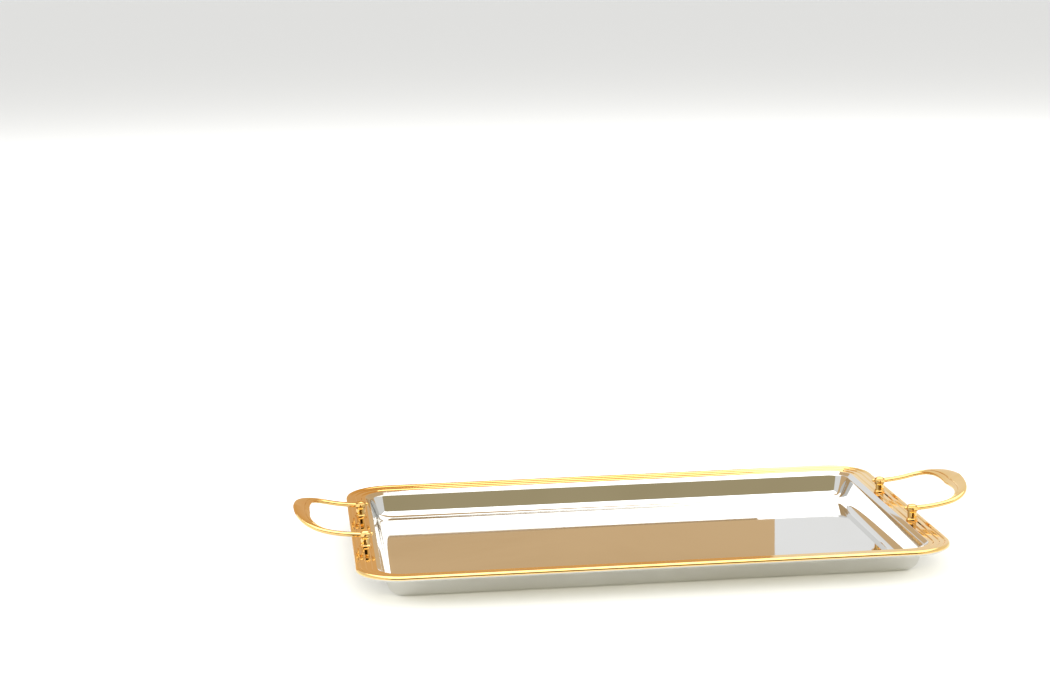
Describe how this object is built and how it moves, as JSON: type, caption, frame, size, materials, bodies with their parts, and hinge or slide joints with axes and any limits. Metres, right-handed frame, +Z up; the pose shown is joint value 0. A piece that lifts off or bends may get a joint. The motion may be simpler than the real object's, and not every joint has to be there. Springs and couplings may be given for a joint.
{
  "type": "two-handled serving tray",
  "caption": "Rectangular metal serving tray with sloping walls, ridged rim with rolled edge, and raised strap handles at both ends.",
  "frame": {"origin": "middle of the tray on the plane it stands on", "axes": "+X along the tray's length towards one handle, +Y across its width, +Z up out of the well"},
  "size_m": [0.5734, 0.312, 0.0473],
  "materials": {
    "polished_pan": "mirror-polished silver-coloured sheet metal, slightly warm",
    "gold_plate": "polished gold-coloured plate over brass castings and turned parts",
    "fastener_steel": "plain zinc-bright steel washers and nuts"
  },
  "bodies": {
    "root": {"tray_pan": "polished_pan", "handle_loop_right": "gold_plate", "handle_loop_left": "gold_plate", "post_collar_right_front": "gold_plate", "post_collar_right_back": "gold_plate", "post_collar_left_front": "gold_plate", "post_collar_left_back": "gold_plate", "post_pillar_right_front": "gold_plate", "post_pillar_right_back": "gold_plate", "post_pillar_left_front": "gold_plate", "post_pillar_left_back": "gold_plate", "dome_screw_right_front": "gold_plate", "dome_screw_right_back": "gold_plate", "dome_screw_left_front": "gold_plate", "dome_screw_left_back": "gold_plate", "flat_washer_right_front": "fastener_steel", "flat_washer_right_back": "fastener_steel", "flat_washer_left_front": "fastener_steel", "flat_washer_left_back": "fastener_steel", "hex_nut_right_front": "fastener_steel", "hex_nut_right_back": "fastener_steel", "hex_nut_left_front": "fastener_steel", "hex_nut_left_back": "fastener_steel"}
  },
  "joints": []
}
